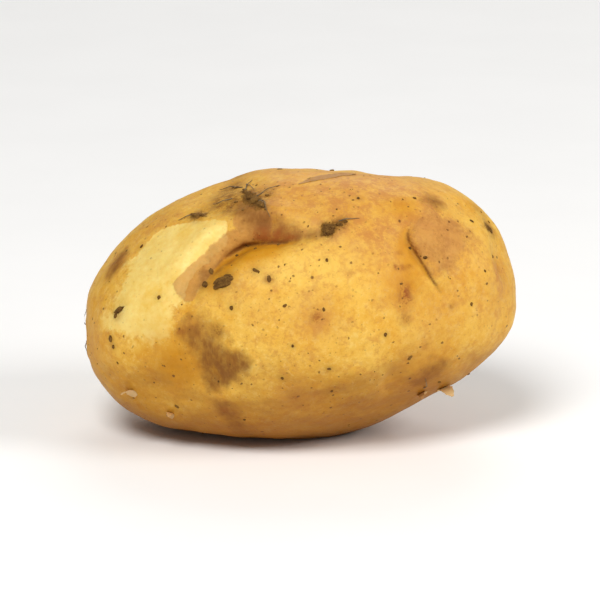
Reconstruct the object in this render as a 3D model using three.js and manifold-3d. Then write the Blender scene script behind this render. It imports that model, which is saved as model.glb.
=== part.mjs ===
// A whole raw potato tuber, unpeeled, lying on the flattened spot of its underside.
//
// Units are millimetres. +X runs from the heel end, where the tuber hung on its stolon, to the rose end, +Z
// is up and -Y is the front. The origin is on the surface that the tuber rests on, under the middle of its
// outline. The tuber grew as one piece, so it is one mesh.
import * as THREE from "three";
import { mergeVertices } from "three/addons/utils/BufferGeometryUtils.js";
import Module from "manifold-3d";

// Overall sizes, before the eyes and the scar are sunk
const LENGTH = 94; // heel end to rose end, as it lies
const WIDTH = 64; // front to back
const HEIGHT = 58; // resting spot to crown
const LEAN = 15; // degrees that the long axis climbs towards the rose end
const REST_FLAT = 1.3; // depth by which the underside is flattened where it rests

// Mesh
const FINENESS = 17; // cuts along each edge of the starting icosahedron
const NODE_NAME = "potato";
const SKIN_COLOUR = 0xd9a24a;
const SKIN_ROUGHNESS = 0.6;

// Swells and hollows of the whole body. Places are given by along and around (see directionOf), rise is in
// millimetres, outwards if positive, and spread is the radius on the unit sphere.
const SWELLS = [
  { where: "under the rose end", along: 0.82, around: 160, rise: 5.0, spread: 0.46 },
  { where: "shoulder behind the crown", along: 0.5, around: -15, rise: -3.6, spread: 0.42 },
  { where: "above the heel end", along: -0.62, around: -10, rise: 0.8, spread: 0.4 },
  { where: "beside the resting spot", along: -0.5, around: 172, rise: -1.6, spread: 0.36 },
  { where: "middle of the belly", along: 0.12, around: 170, rise: 1.7, spread: 0.36 },
  { where: "front cheek", along: 0.15, around: 100, rise: 1.6, spread: 0.45 },
  { where: "front of the heel end", along: -0.74, around: 62, rise: 1.8, spread: 0.4 },
  { where: "hollow below the heel's front", along: -0.62, around: 108, rise: -1.6, spread: 0.24 },
  { where: "saddle at the back", along: 0.05, around: 262, rise: -2.6, spread: 0.42 },
  { where: "back cheek", along: -0.5, around: 255, rise: 2.4, spread: 0.4 },
  { where: "back of the rose end", along: 0.66, around: 290, rise: 1.8, spread: 0.36 },
];

// Eyes. A brow is a raised ridge beside a sunken socket. width is the brow's length, depth the socket's and
// brow the ridge's height. turn swings the brow's line in degrees: 0 wraps it round the tuber, 90 lays it
// lengthwise.
const EYES = [
  { where: "long brow on the front", along: -0.15, around: 38, width: 27, depth: 2.8, brow: 1.7, turn: -80 },
  { where: "crease", along: 0.61, around: 68, width: 17, depth: 1.6, brow: 1.5, turn: 168, bow: -0.15 },
  { where: "low on the front", along: -0.44, around: 100, width: 12, depth: 1.1, brow: 0.5, turn: 20 },
  { where: "under the front cheek", along: 0.3, around: 128, width: 11, depth: 0.9, brow: 0.5, turn: -12 },
  { where: "high at the back", along: -0.35, around: 312, width: 15, depth: 1.9, brow: 1.0, turn: 8 },
  { where: "low in the saddle", along: 0.16, around: 245, width: 14, depth: 1.7, brow: 0.9, turn: -10 },
  { where: "under the heel end", along: -0.62, around: 205, width: 11, depth: 1.2, brow: 0.6, turn: 12 },
  { where: "behind the crown", along: 0.5, around: 335, width: 14, depth: 1.6, brow: 0.9, turn: -6 },
  { where: "under the rose end", along: 0.72, around: 205, width: 11, depth: 1.3, brow: 0.7, turn: 10 },
  { where: "back of the rose end", along: 0.88, around: 290, width: 10, depth: 1.5, brow: 0.8, turn: 0 },
  { where: "tip of the rose end", along: 0.94, around: 95, width: 9, depth: 1.4, brow: 0.7, turn: 0 },
];
const SOCKET_REACH = 3.4; // from the brow's crest to the far lip of its socket
const BROW_REACH = 2.6; // half the thickness of a brow's ridge
const BROW_BOW = 0.18; // how much a brow curves round its socket, as a share of its length

// The steps either side of a feature's middle that give the directions of the skin there
const STEP_ALONG = 0.02;
const STEP_AROUND = 1; // degrees

// The scar where the stolon broke off, at the heel end
const HEEL_SCAR = { along: -0.985, around: 30, radius: 4.6, depth: 1.9 };

const wasm = await Module();
wasm.setup();

// The direction of a place on the tuber, on a unit sphere. along goes from -1 at the heel end to 1 at the
// rose end; around turns, in degrees, from the crown (0) over the front (90) to the underside (180) and the
// back (270).
function directionOf(along, around) {
  const ring = Math.sqrt(1 - along * along);
  const turn = THREE.MathUtils.degToRad(around);
  return new THREE.Vector3(along, -ring * Math.sin(turn), ring * Math.cos(turn));
}

function bell(distance) {
  return Math.exp(-distance * distance);
}

// The plain body in a direction: an ellipsoid with its swells and hollows, turned to its lean.
function bodyPoint(direction) {
  const half = new THREE.Vector3(LENGTH, WIDTH, HEIGHT).multiplyScalar(0.5);
  const point = direction.clone().multiply(half);
  const outwards = direction.clone().divide(half).normalize();
  for (const { along, around, rise, spread } of SWELLS) {
    const away = direction.distanceTo(directionOf(along, around));
    point.addScaledVector(outwards, rise * bell(away / spread));
  }
  return point.applyAxisAngle(new THREE.Vector3(0, 1, 0), -THREE.MathUtils.degToRad(LEAN));
}

// The scaling and shift that bring the plain body to its overall sizes, with its lowest point REST_FLAT under
// the ground.
function fitToSizes(directions) {
  const box = new THREE.Box3().setFromPoints(directions.map(bodyPoint));
  const sizes = box.getSize(new THREE.Vector3());
  const middle = box.getCenter(new THREE.Vector3());
  const scale = new THREE.Vector3(LENGTH, WIDTH, HEIGHT + REST_FLAT).divide(sizes);
  const lift = (HEIGHT + REST_FLAT) / 2 - REST_FLAT;
  return new THREE.Matrix4()
    .makeTranslation(0, 0, lift)
    .scale(scale)
    .multiply(new THREE.Matrix4().makeTranslation(-middle.x, -middle.y, -middle.z));
}

// Where a feature sits on the fitted body, with its own axes: out of the skin, along the tuber and across it,
// the last two swung round by turn degrees.
function siteOf({ along, around, turn = 0 }, fit) {
  const at = (a, r) => bodyPoint(directionOf(a, r)).applyMatrix4(fit);
  const centre = at(along, around);
  const lengthwise = at(along + STEP_ALONG, around).sub(at(along - STEP_ALONG, around)).normalize();
  const roundwise = at(along, around + STEP_AROUND).sub(at(along, around - STEP_AROUND)).normalize();
  const out = new THREE.Vector3().crossVectors(roundwise, lengthwise).normalize();
  const swing = THREE.MathUtils.degToRad(turn);
  return {
    centre,
    out,
    reach: lengthwise.applyAxisAngle(out, swing),
    across: roundwise.applyAxisAngle(out, swing),
  };
}

// How far an eye raises or sinks a point of the body.
function eyeRelief(point, site, { width, depth, brow, bow = BROW_BOW }) {
  const offset = point.clone().sub(site.centre);
  const across = offset.dot(site.across) / (width / 2);
  const fade = bell(across) * bell(offset.dot(site.out) / width);
  const past = offset.dot(site.reach) - bow * width * across * across; // beyond the crest, into the socket
  const ridge = brow * bell((past + BROW_REACH) / BROW_REACH);
  const socket = depth * bell((past - SOCKET_REACH / 2) / SOCKET_REACH);
  return fade * (ridge - socket);
}

function scarRelief(point, site, { radius, depth }) {
  return -depth * bell(point.distanceTo(site.centre) / radius);
}

// Adds the eyes and the scar to a point of the fitted body, along the skin's normal there.
function withFeatures(point, normal, features) {
  const relief = features.reduce((sum, feature) => sum + feature(point), 0);
  return point.clone().addScaledVector(normal, relief);
}

function toSolid(geometry) {
  const bare = geometry.clone();
  bare.deleteAttribute("normal");
  bare.deleteAttribute("uv");
  const merged = mergeVertices(bare);
  return new wasm.Manifold(
    new wasm.Mesh({
      numProp: 3,
      vertProperties: merged.getAttribute("position").array,
      triVerts: new Uint32Array(merged.index.array),
    }),
  );
}

function toGeometry(solid) {
  const { vertProperties, triVerts } = solid.getMesh();
  const geometry = new THREE.BufferGeometry();
  geometry.setAttribute("position", new THREE.BufferAttribute(vertProperties, 3));
  geometry.setIndex(new THREE.BufferAttribute(triVerts, 1));
  geometry.computeVertexNormals();
  return geometry;
}

function tuberGeometry() {
  const geometry = new THREE.IcosahedronGeometry(1, FINENESS);
  geometry.deleteAttribute("uv");
  geometry.deleteAttribute("normal");
  const skin = mergeVertices(geometry);
  const place = skin.getAttribute("position");
  const directions = [];
  for (let i = 0; i < place.count; i++) {
    directions.push(new THREE.Vector3().fromBufferAttribute(place, i));
  }
  const fit = fitToSizes(directions);
  directions.forEach((direction, i) => {
    place.setXYZ(i, ...bodyPoint(direction).applyMatrix4(fit));
  });
  skin.computeVertexNormals();

  const features = EYES.map((eye) => {
    const site = siteOf(eye, fit);
    return (point) => eyeRelief(point, site, eye);
  });
  const scarSite = siteOf(HEEL_SCAR, fit);
  features.push((point) => scarRelief(point, scarSite, HEEL_SCAR));
  const normals = skin.getAttribute("normal");
  for (let i = 0; i < place.count; i++) {
    const point = new THREE.Vector3().fromBufferAttribute(place, i);
    const normal = new THREE.Vector3().fromBufferAttribute(normals, i);
    place.setXYZ(i, ...withFeatures(point, normal, features));
  }
  return skin;
}

// Everything below the ground, which flattens the resting spot.
function ground() {
  return new THREE.BoxGeometry(2 * LENGTH, 2 * WIDTH, HEIGHT).translate(0, 0, -HEIGHT / 2);
}

// Shifts the geometry so that the middle of its outline, seen from above, is over the origin.
function centred(geometry) {
  geometry.computeBoundingBox();
  const middle = geometry.boundingBox.getCenter(new THREE.Vector3());
  return geometry.translate(-middle.x, -middle.y, 0);
}

const tuber = toSolid(tuberGeometry()).subtract(toSolid(ground()));
const potato = new THREE.Mesh(
  centred(toGeometry(tuber)),
  new THREE.MeshStandardMaterial({ color: SKIN_COLOUR, roughness: SKIN_ROUGHNESS, metalness: 0 }),
);
potato.name = NODE_NAME;

const part = new THREE.Group();
part.add(potato);

export default part;
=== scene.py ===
# A whole raw potato, unpeeled, lying on its resting spot: its skin with eyes, rubbed and old patches, the
# soil stuck to it, its loose skin and its rootlets, on a pale studio floor. Lengths are in metres, and the
# tables' lengths in millimetres. A place on the tuber is given by along, from -1 at the heel end to 1 at the
# rose end, and around, in degrees from the crown (0) over the front (90) to the underside (180) and the back
# (270).

import math
import random
from collections import namedtuple

import bmesh
import bpy
import numpy as np
from bpy.props import FloatProperty, FloatVectorProperty, IntProperty, PointerProperty
from mathutils import Matrix, Vector, noise
from mathutils.bvhtree import BVHTree


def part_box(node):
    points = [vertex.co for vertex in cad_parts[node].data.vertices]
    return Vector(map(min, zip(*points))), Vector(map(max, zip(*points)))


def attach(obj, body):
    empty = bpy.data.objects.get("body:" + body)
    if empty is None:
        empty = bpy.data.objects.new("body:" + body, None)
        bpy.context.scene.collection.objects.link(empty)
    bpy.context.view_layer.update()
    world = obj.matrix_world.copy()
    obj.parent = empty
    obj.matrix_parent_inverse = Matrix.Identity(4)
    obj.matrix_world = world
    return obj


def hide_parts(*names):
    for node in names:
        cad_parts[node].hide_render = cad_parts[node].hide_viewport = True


bl_info = {
    "name": "Potato",
    "version": (1, 0, 0),
    "blender": (4, 5, 0),
    "location": "3D View > Sidebar > Potato",
    "description": "Builds the skin, soil, loose skin and rootlets of a raw potato",
    "category": "Add Mesh",
}

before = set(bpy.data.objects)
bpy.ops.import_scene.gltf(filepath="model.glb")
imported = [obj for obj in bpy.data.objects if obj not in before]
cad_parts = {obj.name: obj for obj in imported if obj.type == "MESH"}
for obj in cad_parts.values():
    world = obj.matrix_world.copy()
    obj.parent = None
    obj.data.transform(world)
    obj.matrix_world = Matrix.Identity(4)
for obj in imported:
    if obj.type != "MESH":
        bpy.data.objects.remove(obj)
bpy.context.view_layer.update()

MM = 0.001
NODE = "potato"
BODY = "root"
LOW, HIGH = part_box(NODE)
CENTRE = (LOW + HIGH) / 2
HALF = (HIGH - LOW) / 2
LEAN = math.radians(15)  # how far the long axis climbs towards the rose end
SKIN_PIECE = "potato_skin"
FAR = 1.0  # a depth that stands for nowhere near


def paint(code):
    """A colour written as #rrggbb, as the linear red, green, blue and alpha that Blender works in."""
    parts = [int(code[i : i + 2], 16) / 255 for i in (1, 3, 5)]
    return tuple(p / 12.92 if p <= 0.04045 else ((p + 0.055) / 1.055) ** 2.4 for p in parts) + (1.0,)


# ----------------------------------------------------------------------------
# What the sidebar shows


def length(name, description, default):
    return FloatProperty(
        name=name, description=description, default=default, min=0, unit="LENGTH", precision=5
    )


def angle(name, description, degrees):
    return FloatProperty(
        name=name, description=description, default=math.radians(degrees), subtype="ANGLE"
    )


def whole(name, description, default, least=0):
    return IntProperty(name=name, description=description, default=default, min=least)


def colour(name, description, code):
    return FloatVectorProperty(
        name=name, description=description, default=paint(code), size=4, min=0, max=1, subtype="COLOR"
    )


class PotatoSkinSettings(bpy.types.PropertyGroup):
    cuts: whole("Cuts", "Cuts across each side of the starting cube", 126, least=8)
    lump: length("Lumps", "Height of the broad unevenness of the body", 0.46 * MM)
    swell: length("Swells", "Height of the soft bumps of the skin", 0.42 * MM)
    ripple: length("Ripples", "Height of the small unevenness of the skin", 0.14 * MM)
    grain: length("Grain", "Height of the finest unevenness that is modelled", 0.035 * MM)
    rub: length("Rubbed depth", "How far the skin is worn down where it has been rubbed off", 0.16 * MM)
    old: length("Old skin", "How thick the old skin stands on the new", 0.13 * MM)
    smear: length("Smear", "How thick the soil is smeared", 0.2 * MM)
    gold: colour("Gold", "Most of the skin", "#da9e30")
    # Also laid as painted highlight in the fields of light gold
    light: colour("Light gold", "The lighter mottling of the skin", "#ebbf56")
    pale: colour("Pale", "Where the skin is rubbed off", "#f5dc87")
    russet: colour("Russet", "The browner mottling of the skin", "#c1803c")
    # Painted shade: laid where the skin faces down
    deep: colour("Deep amber", "The shaded belly of the tuber", "#824402")
    # Painted shade: a warm dark gold laid in hollows, under the brows and low on the body
    painted_amber_shade: colour("Amber", "Hollows of the skin", "#c6840a")
    old_skin: colour("Old skin colour", "The pinkish old skin", "#c08647")
    stain: colour("Stain", "Brown stains", "#82501e")
    speck: colour("Specks", "Dark specks in the skin", "#5e3a15")
    rust: colour("Rust", "Rust-brown spots", "#93501a")
    dust: colour("Dust", "The haze of soil round crumbs and smears", "#8a5a1c")
    roughness: FloatProperty(
        name="Roughness", description="How dull the clean skin is", default=0.52, min=0, max=1
    )


class PotatoSoilSettings(bpy.types.PropertyGroup):
    crumbs: whole("Crumbs", "How many small crumbs are scattered", 220)
    smallest: length("Smallest", "Radius of the smallest crumb", 0.11 * MM)
    largest: length("Largest", "Radius of the largest scattered crumb", 0.42 * MM)
    seed: whole("Seed", "Which scatter is made", 7)
    dark: colour("Dark soil", "Damp soil", "#432508")
    dry: colour("Dry soil", "Dry soil", "#8a642c")


class PotatoLooseSkinSettings(bpy.types.PropertyGroup):
    thickness: length("Thickness", "Thickness of the loose skin", 0.09 * MM)
    colour: colour("Colour", "The outer face of the loose skin", "#bd8740")
    shade: colour("Shade", "The darker mottling of the loose skin", "#9c6c2c")
    edge: colour("Edge", "The thin dry edge of the loose skin", "#dcb87e")


class PotatoRootletSettings(bpy.types.PropertyGroup):
    thickness: length("Thickness", "Radius of a rootlet at its base", 0.13 * MM)
    colour: colour("Colour", "Dry rootlets", "#8d7d5c")


class PotatoStageSettings(bpy.types.PropertyGroup):
    azimuth: angle("Azimuth", "Where the camera stands round the potato", 0)
    elevation: angle("Elevation", "How far the camera looks down", 15)
    distance: length("Distance", "From the camera to the middle of the potato", 0.9)
    view_width: length("View width", "Width of the view at the potato", 0.130)
    floor: colour("Floor", "The studio floor", "#fbfaf8")


# ----------------------------------------------------------------------------
# Places on the tuber


def unit_place(along, around):
    """The direction of a place on a unit sphere."""
    ring = math.sqrt(1 - along * along)
    turn = math.radians(around)
    return Vector((along, -ring * math.sin(turn), ring * math.cos(turn)))


def heading_of(unit):
    """The way from the middle of the leaning tuber to a place given by its direction on a unit sphere."""
    return (Matrix.Rotation(-LEAN, 3, "Y") @ (unit * HALF)).normalized()


def on_body(tree, unit):
    """Where the line from the middle of the tuber through a place leaves the body."""
    return tree.ray_cast(CENTRE, heading_of(unit))[0]


def body_at(tree, along, around):
    return on_body(tree, unit_place(along, around))


Spot = namedtuple("Spot", "centre out x_axis y_axis")
STEP_ALONG = 0.03  # the steps either side of a place that give the directions of the skin there
STEP_AROUND = 2  # degrees


def spot_at(tree, along, around, turn=0.0):
    """A place with its own flat axes: x runs lengthwise to the rose end, y runs round the tuber."""
    step = STEP_ALONG * math.sqrt(1 - along * along)
    lengthwise = body_at(tree, along + step, around) - body_at(tree, along - step, around)
    roundwise = body_at(tree, along, around + STEP_AROUND) - body_at(tree, along, around - STEP_AROUND)
    out = roundwise.cross(lengthwise).normalized()
    x_axis = Matrix.Rotation(math.radians(turn), 3, out) @ lengthwise.normalized()
    return Spot(body_at(tree, along, around), out, x_axis, x_axis.cross(out))


def flatten(points, spot):
    """Points as seen flat from outside a spot: x, y and the height above the spot."""
    away = np.asarray(points) - np.array(spot.centre)
    return away @ np.array(spot.x_axis), away @ np.array(spot.y_axis), away @ np.array(spot.out)


# ----------------------------------------------------------------------------
# Curves used by the relief


def bell(x):
    return np.exp(-np.square(x))


def ease(x):
    x = np.clip(x, 0, 1)
    return x * x * (3 - 2 * x)


def rumple(points, wavelength, seed):
    """Smooth noise, about -1 to 1, at each point."""
    shift = Vector((17.3, 5.9, 11.1)) * seed
    return np.array([noise.noise(Vector(p) / wavelength + shift) for p in points])


def rounded(corners, times=2):
    """A closed outline with its corners cut round."""
    for _ in range(times):
        ahead = np.roll(corners, -1, axis=0)
        corners = np.stack([corners * 0.75 + ahead * 0.25, corners * 0.25 + ahead * 0.75], 1).reshape(-1, 2)
    return corners


def smooth_line(points, steps=6):
    """A smooth line through points, on a Catmull-Rom curve."""
    padded = np.vstack([2 * points[0] - points[1], points, 2 * points[-1] - points[-2]])
    line = []
    for a, b, c, d in zip(padded, padded[1:], padded[2:], padded[3:]):
        for t in np.arange(steps) / steps:
            bend = (2 * a - 5 * b + 4 * c - d) * t**2 + (3 * b - a - 3 * c + d) * t**3
            line.append(0.5 * (2 * b + (c - a) * t + bend))
    return np.array(line + [points[-1]])


def outline_depth(x, y, corners):
    """How deep each flat point lies inside a closed outline; negative outside."""
    nearest = np.full(len(x), FAR)
    inside = np.zeros(len(x), bool)
    for (ax, ay), (bx, by) in zip(corners, np.roll(corners, -1, axis=0)):
        ex, ey = bx - ax, by - ay
        share = np.clip(((x - ax) * ex + (y - ay) * ey) / (ex * ex + ey * ey), 0, 1)
        nearest = np.minimum(nearest, np.hypot(x - ax - share * ex, y - ay - share * ey))
        if ey:
            inside ^= ((ay > y) != (by > y)) & (x < ax + (y - ay) / ey * ex)
    return np.where(inside, nearest, -nearest)


def line_field(x, y, line):
    """For each flat point, its signed distance from a line (positive on the right of its run, y pointing
    down), the share of the line's length at which it is nearest, and the way to the positive side there."""
    nearest = np.full(len(x), FAR)
    signed, share = np.zeros(len(x)), np.zeros(len(x))
    side = np.zeros((len(x), 2))
    for i, ((ax, ay), (bx, by)) in enumerate(zip(line, line[1:])):
        ex, ey = bx - ax, by - ay
        run = math.hypot(ex, ey)
        t = np.clip(((x - ax) * ex + (y - ay) * ey) / run**2, 0, 1)
        gap = np.hypot(x - ax - t * ex, y - ay - t * ey)
        won = gap < nearest
        nearest[won] = gap[won]
        cross = (ex * (y - ay) - ey * (x - ax)) / run
        signed[won] = np.where(cross[won] < 0, -gap[won], gap[won])
        share[won] = (i + t[won]) / (len(line) - 1)
        side[won] = (-ey / run, ex / run)
    return signed, share, side


# ----------------------------------------------------------------------------
# What is where on the skin

# The brow over the main eye and the crease by the rose end: the places along the crest, the height of its
# lip, how far the lip hangs over, the depth of the hollow beside it, the share of the crest at which it is
# strongest, and how quickly it reaches its full strength from either end.
CRESTS = [
    {
        "name": "long brow on the front",
        "line": [(-0.45, 61), (-0.38, 54), (-0.3, 43), (-0.19, 38), (-0.13, 38), (-0.05, 40), (0.03, 42),
                 (0.11, 45), (0.19, 47)],
        "lip": 0.75,
        "hang": 1.4,
        "hollow": 1.1,
        "peak": 0.6,
        "fullness": 1.5,
    },
    {
        "name": "crease on the front of the rose end",
        "line": [(0.65, 42), (0.63, 53), (0.63, 60), (0.64, 69), (0.66, 78), (0.69, 89), (0.71, 98)],
        "lip": 0.6,
        "hang": 0.8,
        "hollow": 0.25,
        "peak": 0.42,
        "fullness": 1.8,
    },
]

CREST_REACH = 24  # how far from its middle a crest shapes the skin
CREST_DEPTH = 14  # how far under its middle it does so, which keeps it off the far side

# Bands beside a crest's line: the middle and the spread of each, positive towards the socket
LIP = (-1.1, 1.2)
GROOVE = (1.0, 1.3)
HOLLOW = (2.6, 2.8)
OVERHANG = (-0.35, 0.95)
# SHADE is where the painted shadow under a lip lies
SHADE = (0.4, 0.75)

# The smaller eyes: along, around, length of the brow, its turn, height of its lip, how dark the painted
# shadow under its lip is
EYES = [
    (-0.44, 100, 9, 20, 0.05, 0),
    (0.3, 128, 9, -12, 0.12, 0.15),
    (-0.35, 312, 14, 8, 0.42, 0.7),
    (0.16, 245, 13, -10, 0.38, 0.7),
    (-0.62, 205, 10, 12, 0.26, 0.5),
    (0.5, 335, 13, -6, 0.36, 0.6),
    (0.72, 205, 10, 10, 0.28, 0.5),
    (0.88, 290, 9, 0, 0.32, 0.6),
    (0.94, 95, 8, 0, 0.15, 0.1),
]
EYE_BOW = 0.18  # how much a small eye's brow curves, as a share of its length
EYE_HANG = 1.2  # how far a small brow hangs over, as a share of its height
EYE_BUDS = [(0, 1), (-1.5, 0.7), (1.4, 0.65)]  # each bud in a socket: how far to the side, and its size
BUD_DROP = 1.4  # from the brow's line to the buds
BUD_RADIUS = 0.8

# The scar where the stolon broke off: along, around, radius
HEEL_SCAR = (-0.985, 30, 3.4)

# Patches with an outline. Each has how soft its edge is, 1 for a torn one, and a few places round its edge.
RUBBED = [
    (1, [(-0.57, 14), (-0.42, 18), (-0.3, 24), (-0.21, 29), (-0.19, 32), (-0.22, 36), (-0.36, 45),
         (-0.47, 56), (-0.46, 60), (-0.53, 62), (-0.62, 48), (-0.66, 30)]),
    (6, [(-0.57, 16), (-0.37, 25), (-0.3, 33), (-0.5, 52), (-0.49, 62), (-0.53, 69), (-0.62, 74),
         (-0.72, 72), (-0.79, 66), (-0.84, 54), (-0.77, 40), (-0.69, 28)]),
    (7, [(0.02, 292), (0.12, 280), (0.3, 274), (0.44, 282), (0.5, 297), (0.38, 301), (0.27, 293),
         (0.2, 306), (0.08, 310)]),
    (8, [(-0.78, 262), (-0.66, 250), (-0.52, 252), (-0.42, 262), (-0.5, 270), (-0.6, 266), (-0.7, 280),
         (-0.79, 276)]),
    (6, [(0.84, 232), (0.9, 212), (0.96, 240), (0.93, 268), (0.88, 262), (0.87, 245)]),
]
OLD_SKIN = [
    (1.2, [(-0.19, 34), (-0.26, 36), (-0.36, 42), (-0.49, 50), (-0.5, 54), (-0.46, 62), (-0.43, 62),
           (-0.37, 54), (-0.3, 45), (-0.2, 39), (-0.13, 38), (-0.1, 35)]),
    (2, [(-0.19, 34), (-0.17, 28), (-0.1, 26), (-0.03, 29), (0.01, 34), (0.0, 38), (-0.06, 39),
         (-0.14, 38)]),
    (1.5, [(0.64, 54), (0.66, 46), (0.7, 43), (0.73, 50), (0.74, 62), (0.71, 72), (0.67, 74), (0.64, 66)]),
    (6, [(0.62, 54), (0.65, 42), (0.74, 38), (0.85, 45), (0.87, 57), (0.81, 76), (0.7, 82), (0.64, 70)]),
    (3, [(-0.3, 286), (-0.18, 277), (-0.02, 276), (0.1, 284), (0.02, 291), (-0.08, 289), (-0.12, 302),
         (-0.22, 306), (-0.3, 298)]),
    (4, [(0.5, 252), (0.6, 238), (0.74, 236), (0.8, 256), (0.72, 262), (0.66, 276), (0.56, 270)]),
    (3, [(-0.34, 206), (-0.2, 192), (0.0, 190), (0.06, 204), (-0.06, 210), (-0.12, 222), (-0.28, 218)]),
]
SMEARS = [
    (1, [(-0.11, 12), (-0.06, 16), (-0.01, 27), (-0.03, 32), (-0.08, 26), (-0.11, 18)]),
    (1, [(-0.36, 16), (-0.32, 17), (-0.28, 22), (-0.3, 23), (-0.35, 20)]),
    (1, [(0.2, 48), (0.22, 44), (0.27, 43), (0.34, 43), (0.33, 45), (0.27, 47), (0.24, 49)]),
    (1, [(0.95, 30), (0.97, 24), (0.98, 34), (0.96, 44), (0.95, 40)]),
    (1, [(-0.34, 302), (-0.3, 301), (-0.28, 312), (-0.3, 322), (-0.34, 320), (-0.32, 311)]),
    (1, [(0.17, 237), (0.2, 235), (0.21, 246), (0.2, 254), (0.17, 250), (0.19, 243)]),
    (1, [(-0.62, 315), (-0.57, 312), (-0.54, 318), (-0.57, 321), (-0.6, 319)]),
    (1, [(0.54, 301), (0.56, 299), (0.57, 306), (0.56, 313), (0.55, 309)]),
]
STAINS = [
    (1, [(-0.48, 86), (-0.4, 80), (-0.33, 87), (-0.24, 92), (-0.26, 99), (-0.33, 102), (-0.43, 109),
         (-0.5, 108), (-0.49, 97)]),
    (2.5, [(-0.52, 74), (-0.44, 69), (-0.36, 78), (-0.33, 87), (-0.42, 92), (-0.49, 86)]),
    (1.5, [(-0.16, 22), (-0.06, 20), (0.0, 30), (0.06, 38), (0.16, 45), (0.2, 48), (0.1, 47), (0.0, 42),
           (-0.09, 38), (-0.13, 33)]),
    (1.5, [(-0.43, 58), (-0.3, 45), (-0.15, 39), (-0.05, 41), (-0.15, 43), (-0.3, 50), (-0.4, 59)]),
    (2, [(-0.48, 116), (-0.42, 117), (-0.37, 130), (-0.36, 141), (-0.4, 142), (-0.44, 130)]),
    (2, [(0.44, 134), (0.52, 128), (0.6, 131), (0.56, 138), (0.46, 140)]),
    (2, [(0.72, 24), (0.78, 26), (0.77, 33), (0.71, 31)]),
    (1.5, [(-0.69, 10), (-0.67, 16), (-0.72, 23), (-0.78, 25), (-0.79, 18), (-0.74, 9)]),
    (2, [(0.26, 258), (0.36, 250), (0.5, 256), (0.56, 268), (0.48, 276), (0.42, 268), (0.3, 272)]),
    (2, [(-0.52, 226), (-0.4, 218), (-0.28, 224), (-0.2, 236), (-0.34, 238), (-0.42, 248), (-0.5, 240)]),
]

# Soft colour fields: along, around, radius, strength. The tables below are, in turn: a brown net of russet,
# with painted shade at the heel end's front rim; painted shade in dark gold, in hollows, under the brows, at
# the heel end's rim and low on the body; pinkish; light gold, partly painted highlight; thin soil; and small
# rust-brown spots.
RUSSET = [
    (0.45, 45, 9, 0.8), (0.81, 57, 9, 0.7), (0.5, 80, 6, 0.7), (0.05, 28, 7, 0.8), (0.46, 133, 7, 0.8),
    (0.33, 30, 9, 0.8), (0.6, 36, 9, 0.8), (0.55, 10, 12, 0.7), (0.1, 2, 10, 0.6), (0.9, 120, 9, 0.5),
    (0.3, 270, 14, 0.5), (-0.5, 240, 12, 0.6), (-0.2, 330, 12, 0.6), (0.7, 300, 12, 0.7),
    # The entry at (-0.93, 70) is painted shade on the heel end's front rim
    (-0.85, 300, 9, 0.5), (0.1, 200, 14, 0.6), (-0.5, 8, 7, 0.6), (-0.93, 70, 6, 0.4),
    (0.1, 83, 5, 0.7), (0.68, 100, 6, 0.4), (-0.47, 73, 2.5, 0.9), (-0.74, 15, 4, 0.9),
    (0.95, 107, 4, 0.6), (-0.1, 118, 4, 0.7),
]
# Painted shade in dark gold: under the brows, in the crease, at the heel end's rim and low on the body
PAINTED_AMBER_SHADE = [
    (-0.59, 90, 7, 1), (-0.15, 44, 4.2, 0.9), (-0.27, 51, 3.4, 0.9), (-0.02, 47, 3.4, 0.8),
    (-0.8, 118, 9, 0.6), (-0.45, 128, 9, 0.6), (-0.95, 80, 7, 0.5), (-0.93, 20, 9, 0.4),
    (0, 130, 10, 0.4), (0.4, 140, 10, 0.4), (0.5, 124, 9, 0.3), (0.6, 72, 3.5, 0.35),
    (0.6, 37, 3.5, 0.7), (-0.1, 47, 4, 0.7), (-0.34, 58, 3, 0.6), (0.55, 80, 4.5, 0.5),
]
BLUSH = [
    (-0.1, 119, 6, 0.6), (0.1, 82, 5, 0.4), (-0.45, 122, 3, 0.9), (0.55, 110, 6, 0.4),
    (0.2, 300, 8, 0.5), (-0.4, 270, 8, 0.4), (-0.16, 74, 4, 0.4),
]
# Light gold, partly painted highlight on the front
FAIR_AND_HIGHLIGHT = [
    (0.31, 60, 8, 0.8), (0.1, 57, 7, 0.7), (0.94, 76, 6, 0.7), (-0.35, 67, 4, 0.6), (0.14, 66, 4, 0.5),
    (-0.1, 67, 7, 0.6), (0.3, 112, 7, 0.4), (-0.3, 110, 6, 0.4), (-0.2, 280, 12, 0.4),
    (0.5, 320, 9, 0.5), (-0.6, 300, 8, 0.5), (0.75, 270, 9, 0.5), (0, 340, 9, 0.4),
]
HAZE = [
    (-0.36, 77, 1.4, 1), (-0.36, 79, 1.1, 0.7), (-0.2, 9, 3.2, 1), (-0.15, 2, 2.6, 0.9),
    (-0.13, 350, 2.2, 0.7), (0, 19, 2, 0.6), (-0.09, 19, 4.2, 1), (-0.22, 17, 3.4, 0.8),
    (-0.15, 24, 3, 0.7), (-0.32, 19, 2.2, 0.5), (-0.74, 14, 2.8, 0.6), (0.25, 46, 1.9, 0.8),
    (0.31, 44, 1.5, 0.6), (0.16, 47, 1.3, 0.5), (0.97, 28, 2, 0.7), (0.94, 3, 2.6, 0.5),
    (0.49, 97, 1.2, 0.5), (0.75, 28, 2, 0.4), (-0.3, 313, 3.2, 0.7), (0.18, 245, 3.6, 0.7),
    (-0.6, 318, 3, 0.7), (0.56, 306, 3, 0.7),
]
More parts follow.
